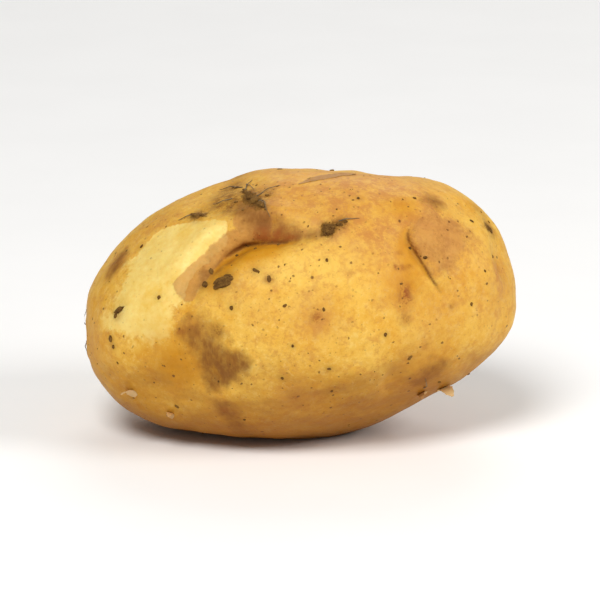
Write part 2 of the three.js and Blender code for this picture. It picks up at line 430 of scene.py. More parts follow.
RUST = [
    (0.52, 88, 1.9, 1), (0.54, 82, 1.5, 0.9), (0.57, 63, 0.6, 0.8), (0.52, 70, 0.7, 0.9),
    (0.56, 71, 0.8, 0.9), (0.59, 71, 0.6, 0.9), (0.49, 97, 1.4, 0.6), (0.54, 116, 0.9, 0.7),
    (0.1, 83, 1.5, 0.8), (-0.06, 40, 1.5, 1), (0.01, 41, 1.3, 0.9), (0.09, 44, 1, 0.6),
    (-0.1, 118, 1.2, 0.6), (-0.07, 62, 1, 0.8), (0.96, 36, 1.3, 0.6), (0.03, 41, 1.4, 0.8),
    (-0.05, 39, 1.4, 0.9), (0.07, 43, 1, 0.8), (-0.09, 37, 1.1, 0.8), (-0.52, 74, 1.2, 0.7),
    (0.3, 68, 0.6, 0.6), (0.71, 102, 0.8, 0.7), (-0.44, 121, 1, 0.8), (0.62, 60, 0.9, 0.8),
    (0.63, 64, 1, 0.8), (0.32, 288, 1.6, 0.8), (-0.1, 262, 1.4, 0.8), (0.64, 220, 1.6, 0.7),
    (-0.55, 180, 1.5, 0.8), (0.4, 350, 1.2, 0.7),
]


BODY_SMOOTHING = 5  # times that the laid skin is smoothed


def relief_body(tree, cuts):
    """The plain body, fine and smooth: a cube cut fine, blown up to a sphere, laid on the CAD surface."""
    bm = bmesh.new()
    bmesh.ops.create_cube(bm, size=2.0)
    bmesh.ops.subdivide_edges(bm, edges=bm.edges[:], cuts=cuts, use_grid_fill=True)
    for vert in bm.verts:
        unit = Vector([math.tan(c * math.pi / 4) for c in vert.co]).normalized()
        vert.co = on_body(tree, unit)
    every_way = {"use_axis_x": True, "use_axis_y": True, "use_axis_z": True}
    for _ in range(BODY_SMOOTHING):
        bmesh.ops.smooth_vert(bm, verts=bm.verts, factor=0.5, **every_way)
    return bm


def cad_tree():
    """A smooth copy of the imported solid, to lay the skin on."""
    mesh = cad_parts[NODE].data.copy()
    bm = bmesh.new()
    bm.from_mesh(mesh)
    bmesh.ops.remove_doubles(bm, verts=bm.verts, dist=0.001 * MM)
    bm.to_mesh(mesh)
    bm.free()
    model = bpy.data.objects.new("smooth_copy", mesh)
    bpy.context.scene.collection.objects.link(model)
    rounding = model.modifiers.new("rounding", "SUBSURF")
    rounding.levels = rounding.render_levels = 2
    tree = BVHTree.FromObject(model, bpy.context.evaluated_depsgraph_get())
    bpy.data.objects.remove(model)
    bpy.data.meshes.remove(mesh)
    return tree


def patch_depth(points, tree, patch, waviness, seed):
    """How deep each point lies inside a patch drawn by places round its edge, less for a soft edge."""
    softness, outline = patch
    middle = sum((unit_place(*place) for place in outline), Vector()).normalized()
    spot = spot_at(tree, middle.x, math.degrees(math.atan2(-middle.y, middle.z)))
    edge = np.array([body_at(tree, *place) for place in outline])
    corners = rounded(np.stack(flatten(edge, spot)[:2], 1))
    x, y, height = flatten(points, spot)
    span = np.hypot(*corners.T).max() + 2 * MM
    near = (np.hypot(x, y) < span) & (height > -span)
    depth = np.full(len(points), -FAR)
    wave = rumple(points[near], (1.5 + 0.4 * softness) * MM, seed) * waviness * softness
    depth[near] = (outline_depth(x[near], y[near], corners) + wave) / softness
    return depth


def deepest(points, tree, patches, waviness, seed):
    depths = [patch_depth(points, tree, patch, waviness, seed + i) for i, patch in enumerate(patches)]
    return np.max(depths, axis=0)


def soft_field(points, tree, blobs):
    """The sum of soft blobs, held at 1."""
    total = np.zeros(len(points))
    for along, around, radius, strength in blobs:
        centre = np.array(body_at(tree, along, around))
        total += strength * bell(np.linalg.norm(points - centre, axis=1) / (radius * MM))
    return np.clip(total, 0, 1)


def band(signed, middle, spread):
    return bell((signed - middle * MM) / (spread * MM))


def crest_relief(points, spot, line, lip, hang, hollow, fade_of):
    """The lip along a crest, the hollow beside it and how the lip hangs over, as a height, a sideways shift
    and a mask of the painted shadow under the lip."""
    x, y, height = flatten(points, spot)
    near = (np.hypot(x, y) < CREST_REACH * MM) & (height > -CREST_DEPTH * MM)
    up, shift, lip_shadow = np.zeros(len(points)), np.zeros((len(points), 3)), np.zeros(len(points))
    signed, share, side = line_field(x[near], y[near], line)
    fade = fade_of(share)
    up[near] = lip * MM * fade * (band(signed, *LIP) - band(signed, *GROOVE))
    up[near] -= hollow * MM * fade * band(signed, *HOLLOW)
    push = side * (hang * MM * fade * band(signed, *OVERHANG))[:, None]
    shift[near] = push[:, :1] * np.array(spot.x_axis) + push[:, 1:] * np.array(spot.y_axis)
    lip_shadow[near] = fade * band(signed, *SHADE)
    return up, shift, lip_shadow


def fade_from_peak(peak, fullness):
    """Full strength at a share of a crest's length, none at its ends."""

    def fade(share):
        return ease(np.where(share < peak, share / peak, (1 - share) / (1 - peak)) * fullness)

    return fade


def even_fade(share):
    return ease(1.4 * np.sin(math.pi * share))


def long_crest(points, tree, crest):
    """The relief of a crest that is given by places along its line."""
    places = np.array([body_at(tree, *place) for place in crest["line"]])
    spot = spot_at(tree, *crest["line"][len(crest["line"]) // 2])
    line = smooth_line(np.stack(flatten(places, spot)[:2], 1))
    fade_of = fade_from_peak(crest["peak"], crest["fullness"])
    return crest_relief(points, spot, line, crest["lip"], crest["hang"], crest["hollow"], fade_of)


def small_eye(points, tree, eye):
    """The relief of a small eye: its bowed brow, and the buds in its socket."""
    along, around, width, turn, lip, dark = eye
    spot = spot_at(tree, along, around, turn + 90)
    across = np.linspace(-0.5, 0.5, 9) * width * MM
    bow = EYE_BOW * width * MM * np.square(np.linspace(-1, 1, 9))
    line = np.stack([across, bow], 1)
    up, shift, lip_shadow = crest_relief(points, spot, line, lip, lip * EYE_HANG, 0, even_fade)
    for sideways, size in EYE_BUDS:
        bud = np.array(spot.centre + spot.x_axis * sideways * MM + spot.y_axis * BUD_DROP * MM)
        away = np.linalg.norm(points - bud, axis=1)
        up += lip * MM * size * bell(away / (BUD_RADIUS * MM * size))
    return up, shift, lip_shadow * dark


def eyes_relief(points, tree):
    """All the crests and eyes together, as a height, a sideways shift and a mask of the painted shadow under
    their lips.
    """
    parts = [long_crest(points, tree, crest) for crest in CRESTS]
    parts += [small_eye(points, tree, eye) for eye in EYES]
    up, shift, lip_shadow = zip(*parts)
    return sum(up), sum(shift), np.max(lip_shadow, axis=0)


def read_points(bm):
    bm.normal_update()
    points = np.array([vert.co for vert in bm.verts])
    normals = np.array([vert.normal for vert in bm.verts])
    return points, normals


HOLLOW_STEPS = 24  # how many times each point is averaged with its neighbours


def hollowness(points, normals, bm):
    """How far each point lies below the average of what surrounds it, in metres."""
    edges = np.array([[vert.index for vert in edge.verts] for edge in bm.edges])
    count = np.bincount(edges.ravel(), minlength=len(points))[:, None]
    soft = points.copy()
    for _ in range(HOLLOW_STEPS):
        total = np.zeros_like(soft)
        for axis in range(3):
            total[:, axis] = np.bincount(edges[:, 0], soft[edges[:, 1], axis], len(points))
            total[:, axis] += np.bincount(edges[:, 1], soft[edges[:, 0], axis], len(points))
        soft = total / count
    return np.einsum("ij,ij->i", soft - points, normals)


def read_marks(points, tree):
    """Where each patch and each soft field lies, for the relief and for the material."""
    near_crumbs = [(along, around, 0.4 + 1.3 * size, 0.5) for along, around, size, _, _ in CRUMBS]
    return {
        "rubbed": deepest(points, tree, RUBBED, 0.55 * MM, 1),
        "old_skin": deepest(points, tree, OLD_SKIN, 0.4 * MM, 11),
        "smear": deepest(points, tree, SMEARS, 0.8 * MM, 21),
        "stain": deepest(points, tree, STAINS, 0.7 * MM, 31),
        "russet": soft_field(points, tree, RUSSET),
        "painted_amber_shade": soft_field(points, tree, PAINTED_AMBER_SHADE),
        "blush": soft_field(points, tree, BLUSH),
        "fair_and_highlight": soft_field(points, tree, FAIR_AND_HIGHLIGHT),
        "haze": soft_field(points, tree, HAZE + near_crumbs),
        "rust": soft_field(points, tree, RUST),
    }


def surface_height(points, tree, marks, settings):
    """How far the unevenness, the patches and the heel scar raise each point, apart from the eyes."""
    height = np.zeros(len(points))
    waves = [
        (settings.lump, 14, 3),
        (settings.swell, 8, 12),
        (settings.ripple, 5, 4),
        (0.6 * settings.ripple, 2.6, 5),
        (settings.grain, 1.3, 6),
    ]
    for rise, wavelength, seed in waves:
        height += rise * rumple(points, wavelength * MM, seed)
    height -= settings.rub * ease(marks["rubbed"] / (0.7 * MM) + 0.5)
    height += 0.5 * settings.rub * bell((marks["rubbed"] + 0.9 * MM) / (0.7 * MM))
    old = ease(marks["old_skin"] / (0.6 * MM) + 0.5)
    height += settings.old * old * (1 + 0.35 * rumple(points, 2.2 * MM, 8))
    smear = ease(marks["smear"] / (1.1 * MM) + 0.3)
    height += settings.smear * smear * (0.8 + 0.9 * rumple(points, 1.1 * MM, 9))
    away = from_scar(points, tree)
    height += 0.35 * MM * bell((away - 1.1) / 0.25) - 0.3 * MM * bell(away / 0.7)
    height += 0.22 * MM * bell(away / 0.9) * rumple(points, 0.9 * MM, 10)
    return height


def from_scar(points, tree):
    """How far each point is from the middle of the heel scar, in radii of the scar."""
    along, around, radius = HEEL_SCAR
    return np.linalg.norm(points - np.array(body_at(tree, along, around)), axis=1) / (radius * MM)


GROUNDED = 0.03  # below this height, in millimetres, the body rests on the floor and stays flat
# A hollow's tone is painted shade, laid in amber in the hollows of the skin
FULL_HOLLOW = 0.35  # how far below its surroundings a point lies where a hollow is at its full tone


def shape_skin(settings):
    """Shapes the fine skin and works out where its colours, its painted shade and its painted shadow go."""
    tree = cad_tree()
    bm = relief_body(tree, settings.cuts)
    bm.verts.index_update()
    points, normals = read_points(bm)
    marks = read_marks(points, tree)
    eye_up, eye_shift, marks["lip_shadow"] = eyes_relief(points, tree)
    marks["scar"] = bell(from_scar(points, tree))
    height = eye_up + surface_height(points, tree, marks, settings)
    grounded = points[:, 2] < GROUNDED * MM
    points = inside_box(points + normals * height[:, None] + eye_shift)
    points[grounded, 2] = LOW.z
    for vert, place in zip(bm.verts, points):
        vert.co = place
    points, normals = read_points(bm)
    marks["hollow"] = np.clip(hollowness(points, normals, bm) / (FULL_HOLLOW * MM), -1, 1)
    # Painted shade: how far the skin faces down, for the darker belly
    marks["under"] = ease(1.35 * (-0.18 - normals[:, 2]))
    return bm, marks


def held_in_box(bm, margin):
    """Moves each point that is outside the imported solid's box, less a margin, onto it."""
    for vert in bm.verts:
        vert.co = [min(max(c, low + margin), high - margin) for c, low, high in zip(vert.co, LOW, HIGH)]


def near_box(place, gap):
    return any(c < low + gap or c > high - gap for c, low, high in zip(place, LOW, HIGH))


def inside_box(points):
    """The points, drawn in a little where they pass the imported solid's box."""
    low, high = points.min(0), points.max(0)
    middle = np.array(CENTRE)
    scale = np.minimum(1, np.array(HALF) / np.maximum(high - middle, middle - low))
    scale[2] = min(1, (HIGH.z - LOW.z) / (high[2] - LOW.z))
    base = np.array([CENTRE.x, CENTRE.y, LOW.z])
    points = (points - base) * scale + base
    points[:, 2] = np.maximum(points[:, 2], LOW.z)
    return points


def finish_piece(bm, name, material, margin=0.0):
    """Makes an object of a finished bmesh, smooth, in its material, riding on the tuber's body. margin is
    the room that it keeps inside the box for a wall that is still to come."""
    held_in_box(bm, margin)
    mesh = bpy.data.meshes.new(name)
    bm.to_mesh(mesh)
    bm.free()
    mesh.shade_smooth()
    mesh.materials.append(material)
    piece = bpy.data.objects.new(name, mesh)
    bpy.context.scene.collection.objects.link(piece)
    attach(piece, BODY)
    return piece


# ----------------------------------------------------------------------------
# Materials


class Graph:
    """Adds nodes to a node tree and joins them."""

    def __init__(self, tree):
        self.tree = tree

    def feed(self, socket, value):
        if isinstance(value, bpy.types.NodeSocket):
            self.tree.links.new(value, socket)
        else:
            socket.default_value = value

    def node(self, kind, feeds=None, **settings):
        made = self.tree.nodes.new(kind)
        for name, value in settings.items():
            setattr(made, name, value)
        for key, value in (feeds or {}).items():
            self.feed(made.inputs[key], value)
        return made

    def math(self, operation, *values, clamp=False):
        feeds = dict(enumerate(values))
        return self.node("ShaderNodeMath", feeds, operation=operation, use_clamp=clamp).outputs[0]

    def ramp(self, value, low, high, to_low=0.0, to_high=1.0):
        """A smooth step from low to high."""
        feeds = {"Value": value, "From Min": low, "From Max": high, "To Min": to_low, "To Max": to_high}
        return self.node("ShaderNodeMapRange", feeds, interpolation_type="SMOOTHSTEP").outputs["Result"]

    def mix(self, share, a, b, blend="MIX"):
        made = self.node("ShaderNodeMix", {0: share, 6: a, 7: b}, data_type="RGBA", blend_type=blend)
        return made.outputs[2]

    def times(self, *shares):
        product = shares[0]
        for share in shares[1:]:
            product = self.math("MULTIPLY", product, share)
        return product

    def coats(self, colour, layers):
        """A colour with layers laid over it in turn, each a share and a tone."""
        for share, tone in layers:
            colour = self.mix(share, colour, tone)
        return colour

    def noise(self, vector, size, detail=2.0, roughness=0.5, distortion=0.0):
        """Noise, about 0 to 1, whose lumps are size apart."""
        scale = 1 / size if isinstance(size, float) else self.math("DIVIDE", 1.0, size)
        feeds = {"Vector": vector, "Scale": scale, "Detail": detail}
        feeds |= {"Roughness": roughness, "Distortion": distortion}
        return self.node("ShaderNodeTexNoise", feeds).outputs["Fac"]

    def mark(self, name):
        made = self.node("ShaderNodeAttribute", attribute_name=name, attribute_type="GEOMETRY")
        return made.outputs["Fac"]

    def place(self):
        return self.node("ShaderNodeTexCoord").outputs["Object"]

    def use(self, group, feeds):
        made = self.node("ShaderNodeGroup", node_tree=group)
        for key, value in feeds.items():
            self.feed(made.inputs[key], value)
        return made.outputs


def effect(name, inputs, outputs, build):
    """A shader node group, built once: inputs and outputs are pairs of a label and a kind of socket."""
    if name in bpy.data.node_groups:
        return bpy.data.node_groups[name]
    tree = bpy.data.node_groups.new(name, "ShaderNodeTree")
    for label, kind in inputs:
        tree.interface.new_socket(label, in_out="INPUT", socket_type="NodeSocket" + kind)
    for label, kind in outputs:
        tree.interface.new_socket(label, in_out="OUTPUT", socket_type="NodeSocket" + kind)
    graph = Graph(tree)
    results = build(graph, graph.node("NodeGroupInput").outputs)
    end = graph.node("NodeGroupOutput")
    for label, value in results.items():
        graph.feed(end.inputs[label], value)
    return tree


def ragged_edge():
    """A mask from a depth inside an outline, with a torn edge."""

    def build(graph, given):
        tear = graph.math("SUBTRACT", graph.noise(given["Vector"], given["Tear size"], 3.0, 0.6), 0.5)
        depth = graph.math("MULTIPLY_ADD", tear, given["Tear"], given["Depth"])
        low = graph.math("MULTIPLY", given["Softness"], -1.0)
        return {"Mask": graph.ramp(depth, low, given["Softness"])}

    inputs = [("Vector", "Vector")]
    inputs += [(label, "Float") for label in ("Depth", "Tear size", "Tear", "Softness")]
    return effect("Ragged edge", inputs, [("Mask", "Float")], build)


def specks():
    """Small separate spots, each with its own size."""

    def build(graph, given):
        wobbles = graph.math("DIVIDE", 2.5, given["Spacing"])
        wobble = graph.node("ShaderNodeTexNoise", {"Vector": given["Vector"], "Scale": wobbles})
        bent = graph.node(
            "ShaderNodeVectorMath",
            {0: wobble.outputs["Color"], 1: graph.math("MULTIPLY", given["Size"], 1.6), 2: given["Vector"]},
            operation="MULTIPLY_ADD",
        )
        per_metre = graph.math("DIVIDE", 1.0, given["Spacing"])
        cells = graph.node("ShaderNodeTexVoronoi", {"Vector": bent.outputs[0], "Scale": per_metre})
        chance = graph.node("ShaderNodeSeparateColor", {"Color": cells.outputs["Color"]})
        gap = graph.math("MULTIPLY", cells.outputs["Distance"], given["Spacing"])
        share_of_size = graph.ramp(chance.outputs["Green"], 0.0, 1.0, 0.35, 1.0)
        size = graph.math("MULTIPLY", given["Size"], share_of_size)
        spot = graph.ramp(gap, size, graph.math("MULTIPLY", size, 0.45))
        present = graph.math("LESS_THAN", chance.outputs["Red"], given["Share"])
        return {"Mask": graph.math("MULTIPLY", spot, present), "Tone": chance.outputs["Blue"]}

    inputs = [("Vector", "Vector"), ("Spacing", "Float"), ("Size", "Float"), ("Share", "Float")]
    return effect("Specks", inputs, [("Mask", "Float"), ("Tone", "Float")], build)


def mottling():
    """Cloudy variation at two sizes, about 0 to 1."""

    def build(graph, given):
        broad = graph.noise(given["Vector"], given["Size"], 3.0, 0.55, 0.4)
        fine = graph.noise(given["Vector"], graph.math("MULTIPLY", given["Size"], 0.22), 2.0, 0.6)
        both = graph.math("MULTIPLY_ADD", fine, 0.4, graph.math("MULTIPLY", broad, 0.6))
        spread = graph.math("MULTIPLY", graph.math("SUBTRACT", both, 0.5), given["Contrast"])
        return {"Value": graph.math("ADD", spread, 0.5, clamp=True)}

    inputs = [("Vector", "Vector"), ("Size", "Float"), ("Contrast", "Float")]
    return effect("Mottling", inputs, [("Value", "Float")], build)


def crumbly_soil():
    """The colour and the relief of soil."""

    def build(graph, given):
        clods = graph.noise(given["Vector"], 0.9 * MM, 4.0, 0.7)
        grit = graph.noise(given["Vector"], 0.22 * MM, 2.0, 0.6)
        both = graph.math("MULTIPLY_ADD", grit, 0.45, graph.math("MULTIPLY", clods, 0.6))
        tone = graph.ramp(both, 0.35, 0.75)
        return {
            "Color": graph.mix(tone, given["Dark"], given["Dry"]),
            "Height": graph.math("MULTIPLY_ADD", grit, 0.35, clods),
        }

    inputs = [("Vector", "Vector"), ("Dark", "Color"), ("Dry", "Color")]
    return effect("Crumbly soil", inputs, [("Color", "Color"), ("Height", "Float")], build)


def new_material(name, roughness):
    """A material with its Principled shader, and the graph that its nodes are added to."""
    material = bpy.data.materials.new(name)
    material.use_nodes = True
    graph = Graph(material.node_tree)
    shader = material.node_tree.nodes["Principled BSDF"]
    shader.inputs["Roughness"].default_value = roughness
    return material, graph, shader


def let_light_in(shader, weight, radius, scale):
    """Lets light into a material: how much, how far for red, green and blue, and the scale of that."""
    shader.inputs["Subsurface Weight"].default_value = weight
    shader.inputs["Subsurface Radius"].default_value = radius
    shader.inputs["Subsurface Scale"].default_value = scale


# The torn edges on the skin: the mark that each is made of, and in millimetres the size of the tears, how far
# they reach and how soft the edge is
TORN = {
    "rubbed": ("rubbed", 1.1, 0.9, 0.2),
    "old": ("old_skin", 0.9, 0.7, 0.2),
    "smear": ("smear", 0.9, 2.6, 0.5),
    "halo": ("smear", 1.6, 4, 2.4),
    "stain": ("stain", 1.8, 2.2, 1.5),
}
# Mottling of the skin: size in millimetres, contrast
CLOUDS = {"broad": (7, 2.9), "middling": (3.6, 3.2), "small": (1.7, 3.4), "worn_tone": (5, 2.4)}
# Spots in the skin: spacing and size in millimetres, share of the places that hold one
SPOTS = {"pores": (1.5, 0.36, 0.6), "dust": (0.85, 0.21, 0.5), "flecks": (2.1, 0.44, 0.55)}


def skin_masks(graph, place):
    """The masks that the colour, the dullness and the relief of the skin are made of."""
    masks = {}
    for name, (mark, tear_size, tear, softness) in TORN.items():
        feeds = {"Vector": place, "Depth": graph.mark(mark), "Tear size": tear_size * MM}
        feeds |= {"Tear": tear * MM, "Softness": softness * MM}
        masks[name] = graph.use(ragged_edge(), feeds)["Mask"]
    for name, (size, contrast) in CLOUDS.items():
        feeds = {"Vector": place, "Size": size * MM, "Contrast": contrast}
        masks[name] = graph.use(mottling(), feeds)["Value"]
    for name, (spacing, size, share) in SPOTS.items():
        feeds = {"Vector": place, "Spacing": spacing * MM, "Size": size * MM, "Share": share}
        masks[name] = graph.use(specks(), feeds)["Mask"]
    return masks


def mottled_skin(graph, masks, settings):
    """The sound skin: gold, light gold, partly as painted highlight, and a net of russet."""
    broad, middling, small = masks["broad"], masks["middling"], masks["small"]
    both = graph.math("MULTIPLY_ADD", small, 0.5, graph.math("MULTIPLY", middling, 0.5))
    net = graph.ramp(graph.ramp(both, 0.08, 0.9), 0.0, 1.0, 0.3, 0.9)
    # Light gold fields, partly painted highlight
    fair_and_highlight = graph.times(graph.mark("fair_and_highlight"), graph.ramp(broad, 0.0, 1.0, 0.45, 0.9))
    layers = [
        (graph.times(graph.ramp(small, 0.55, 0.95), 0.3), settings.pale),
        (fair_and_highlight, settings.light),
        (graph.times(graph.ramp(middling, 0.42, 1.0), 0.42), settings.russet),
        (graph.times(graph.mark("russet"), net), settings.russet),
        (graph.times(graph.ramp(small, 0.42, 0.08), 0.34), settings.russet),
    ]
    return graph.coats(graph.mix(broad, settings.gold, settings.light), layers)


def patched_skin(graph, skin, place, masks, settings):
    """The skin with its rubbed and old patches, stains, fields of colour, and painted shade in amber fields
    and on the belly where it faces down.
    """
    middling, small = masks["middling"], masks["small"]
    pale = graph.mix(masks["worn_tone"], settings.light, settings.pale)
    worn = graph.ramp(graph.noise(place, 2.8 * MM, 4.0, 0.6), 0.3, 0.5, 0.72, 0.95)
    old_tone = graph.mix(graph.ramp(middling, 0.2, 1.0, 0.0, 0.4), settings.old_skin, settings.stain)
    drawn_out = graph.node("ShaderNodeVectorMath", {0: place, 1: (1.0, 1.0, 0.35)}, operation="MULTIPLY")
    feeds = {"Vector": drawn_out.outputs[0], "Size": 2.6 * MM, "Contrast": 2.6}
    streaks = graph.ramp(graph.use(mottling(), feeds)["Value"], 0.0, 0.8, 0.62, 0.95)
    layers = [
        (graph.times(masks["rubbed"], worn), pale),
        (graph.times(graph.mark("blush"), 0.5), settings.old_skin),
        # Painted shade in the amber fields under the brows, in creases and low on the body
        (graph.times(graph.mark("painted_amber_shade"), 0.85), settings.painted_amber_shade),
        # Painted shade in deep amber where the skin faces down
        (graph.times(graph.mark("under"), 0.8), settings.deep),
        (graph.times(masks["old"], 0.68), old_tone),
        (graph.times(masks["stain"], streaks), settings.stain),
        (graph.times(masks["halo"], graph.ramp(middling, 0.2, 1.0, 0.05, 0.5)), settings.stain),
        (graph.times(graph.mark("haze"), graph.ramp(small, 0.1, 0.9, 0.35, 0.95)), settings.dust),
        (graph.times(graph.mark("rust"), graph.ramp(small, 0.1, 0.8, 0.3, 1.0)), settings.rust),
    ]
    return graph.coats(skin, layers)


def speckled_skin(graph, skin, masks, settings):
    """The skin with its fine spots, fewer of them where it is rubbed."""
    clean = graph.ramp(masks["rubbed"], 0.0, 1.0, 1.0, 0.45)
    patchy = graph.times(graph.ramp(masks["middling"], 0.15, 0.7, 0.35, 1.0), clean)
    layers = [
        (graph.times(masks["pores"], patchy, 0.5), settings.stain),
        (graph.times(masks["dust"], patchy, 0.4), settings.stain),
        (graph.times(masks["flecks"], clean, 0.8), settings.speck),
    ]
    return graph.coats(skin, layers)


def creased_skin(graph, skin, masks, settings, soil_colour):
    """The skin with painted shade in its hollows, the heel scar's brown, painted shadow under the lips of the
    brows and eyes, and the soil of the smears.
    """
    small = masks["small"]
    # Painted shadow under the lips of the brows and eyes
    lip_shadow = graph.times(graph.mark("lip_shadow"), graph.ramp(small, 0.0, 0.8, 0.55, 1.0))
    lip_shadow_tone = graph.mix(small, settings.speck, settings.stain)
    layers = [
        # Painted shade in amber where the skin lies below its surroundings
        (graph.times(graph.ramp(graph.mark("hollow"), 0.12, 0.9), 0.55), settings.painted_amber_shade),
        (graph.times(graph.mark("scar"), graph.ramp(small, 0.0, 1.0, 0.4, 0.9)), settings.stain),
        (graph.times(graph.ramp(lip_shadow, 0.15, 0.95), 0.85), lip_shadow_tone),
        (graph.times(masks["smear"], 0.85), soil_colour),
    ]
    return graph.coats(skin, layers)


def skin_dullness(graph, masks, settings):
    patchy = graph.math("MAXIMUM", masks["old"], masks["stain"])
    dull = graph.math("MULTIPLY_ADD", patchy, 0.16, settings.roughness)
    dull = graph.math("MULTIPLY_ADD", masks["smear"], 0.35, dull, clamp=True)
    return graph.math("MULTIPLY_ADD", masks["rubbed"], -0.08, dull)


def skin_bump(graph, place, masks, soil_height):
    """The relief that is too fine to model: grain, spots, the old skin's thickness and soil."""
    height = graph.times(graph.noise(place, 1.3 * MM, 3.0, 0.55), 0.10)
    rises = [
        (graph.noise(place, 0.45 * MM, 2.0, 0.5), 0.035),
        (masks["pores"], 0.05),
        (masks["flecks"], 0.06),
        (masks["old"], 0.05),
        (graph.times(masks["smear"], soil_height), 0.3),
    ]
    for mask, rise in rises:
        height = graph.math("MULTIPLY_ADD", mask, rise, height)
    return graph.node("ShaderNodeBump", {"Strength": 1.0, "Distance": MM, "Height": height})


def skin_material(settings, soil):
    material, graph, shader = new_material("potato_skin", settings.roughness)
    place = graph.place()
    masks = skin_masks(graph, place)
    earth = graph.use(crumbly_soil(), {"Vector": place, "Dark": soil.dark, "Dry": soil.dry})
    skin = mottled_skin(graph, masks, settings)
    skin = patched_skin(graph, skin, place, masks, settings)
    skin = speckled_skin(graph, skin, masks, settings)
    skin = creased_skin(graph, skin, masks, settings, earth["Color"])
    bump = skin_bump(graph, place, masks, earth["Height"])
    graph.feed(shader.inputs["Base Color"], skin)
    graph.feed(shader.inputs["Roughness"], skin_dullness(graph, masks, settings))
    graph.feed(shader.inputs["Normal"], bump.outputs["Normal"])
    let_light_in(shader, 0.12, (1.0, 0.55, 0.2), 1.6 * MM)
    shader.inputs["Specular IOR Level"].default_value = 0.16
    return material


def soil_material(settings):
    material, graph, shader = new_material("field_soil", 0.92)
    place = graph.place()
    look = graph.use(crumbly_soil(), {"Vector": place, "Dark": settings.dark, "Dry": settings.dry})
    tone = graph.mix(graph.ramp(graph.mark("dryness"), 0.3, 1.0, 0.0, 0.55), look["Color"], settings.dry)
    bump = graph.node("ShaderNodeBump", {"Strength": 0.9, "Distance": 0.3 * MM, "Height": look["Height"]})
    graph.feed(shader.inputs["Base Color"], tone)
    graph.feed(shader.inputs["Normal"], bump.outputs["Normal"])
    shader.inputs["Specular IOR Level"].default_value = 0.2
    return material


def loose_skin_material(settings, soil):
    material, graph, shader = new_material("loose_skin", 0.62)
    place = graph.place()
    cloud = graph.use(mottling(), {"Vector": place, "Size": 1.4 * MM, "Contrast": 2.6})["Value"]
    look = graph.mix(cloud, settings.colour, settings.shade)
    look = graph.mix(graph.ramp(graph.mark("rim"), 0.75, 1.0, 0.0, 0.75), look, settings.edge)
    spots = graph.use(specks(), {"Vector": place, "Spacing": 1.8 * MM, "Size": 0.3 * MM, "Share": 0.35})
    look = graph.mix(graph.math("MULTIPLY", spots["Mask"], 0.8), look, soil.dark)
    crinkle = graph.noise(place, 0.8 * MM, 3.0, 0.6)
    bump = graph.node("ShaderNodeBump", {"Strength": 0.8, "Distance": 0.15 * MM, "Height": crinkle})
    graph.feed(shader.inputs["Base Color"], look)
    graph.feed(shader.inputs["Normal"], bump.outputs["Normal"])
    let_light_in(shader, 0.12, (1.0, 0.6, 0.3), 0.5 * MM)
    return material


def rootlet_material(settings, soil):
    material, graph, shader = new_material("rootlet", 0.8)
    place = graph.place()
    cloud = graph.use(mottling(), {"Vector": place, "Size": 1.1 * MM, "Contrast": 3.0})["Value"]
    graph.feed(shader.inputs["Base Color"], graph.mix(cloud, settings.colour, soil.dark))
    return material


# ----------------------------------------------------------------------------
# Soil, loose skin and rootlets

# Crumbs at known places: along, around, half length, half width, turn in degrees
CRUMBS = [
    (-0.28, 58, 2.1, 1.2, -60), (-0.26, 56, 0.9, 0.6, -60), (-0.75, 52, 1.4, 0.6, -50),
    (-0.77, 54, 0.6, 0.45, 0), (-0.82, 67, 0.7, 0.5, 0), (-0.82, 73, 0.4, 0.35, 0),
    (-0.57, 55, 0.45, 0.4, 0), (-0.61, 18, 0.5, 0.35, 0), (-0.34, 50, 0.7, 0.45, 10),
    (-0.37, 56, 0.75, 0.6, 40), (-0.07, 62, 0.7, 0.4, 10), (-0.12, 57, 0.8, 0.35, 70),
    (-0.27, 70, 0.5, 0.4, 0), (0.25, 46, 1.3, 1, 70), (0.24, 47, 0.8, 0.7, 0), (0.3, 45, 0.8, 0.35, 85),
    (0.33, 44, 0.5, 0.3, 85), (-0.08, 19, 1.3, 0.8, 35), (-0.06, 23, 1.4, 0.9, 35),
    (-0.03, 28, 1.1, 0.7, 30), (-0.1, 14, 0.8, 0.5, 40), (-0.14, 6, 0.6, 0.4, 20),
    (0, 21, 0.6, 0.35, 80), (0.97, 36, 1, 0.5, 40), (-0.34, 18, 1.1, 0.4, 88),
    (-0.31, 20, 0.7, 0.4, 80), (0.38, 100, 0.42, 0.35, 0), (0.21, 60, 0.4, 0.3, 0),
    (0.41, 31, 0.4, 0.3, 0), (-0.04, 92, 0.3, 0.3, 0), (-0.13, 106, 0.4, 0.3, 40),
    (0.09, 107, 0.45, 0.25, 80), (0.07, 120, 0.35, 0.3, 0), (-0.3, 312, 1.5, 1, 30),
    (0.17, 246, 1.6, 1, 60), (0.2, 243, 0.9, 0.7, 0), (-0.6, 318, 1.1, 0.8, 0),
    (0.56, 306, 1.3, 0.8, 45), (-0.5, 262, 1, 0.7, 10), (0.3, 330, 0.8, 0.5, 0),
    (0.7, 270, 0.9, 0.6, 20), (-0.8, 240, 0.8, 0.6, 0),
]

# Flakes of loose skin: along, around, turn, length, width, where the lifted end starts, from the middle, as
# a share of half the length, the radius that it curls to, and how dry and pale it is
FLAKES = [
    (0.32, 9, 28, 15, 2.3, 0.7, 3, 0.2),
    (0.53, 156, 60, 4.8, 2.4, -0.5, 1.9, 0.9),
    (0.44, 150, 110, 3.6, 1.8, -0.4, 1.5, 0.7),
    (-0.84, 112, 120, 4.2, 2.2, -0.4, 1.7, 0.9),
    (-0.7, 128, 80, 3.4, 1.8, -0.3, 1.4, 0.7),
    (0.06, 286, 60, 5, 2.1, 0, 1.5, 0.2),
    (-0.48, 265, 140, 4, 1.7, 0, 1.3, 0.2),
    (0.6, 268, 80, 5, 2, 0.1, 1.6, 0.2),
    (-0.28, 297, 250, 5.5, 2, 0.2, 1.8, 0.2),
    (0.88, 256, 75, 5, 2.2, 0, 1.6, 0.5),
    (-0.1, 215, 40, 6.5, 2.8, 0.4, 3, 0.2),
]

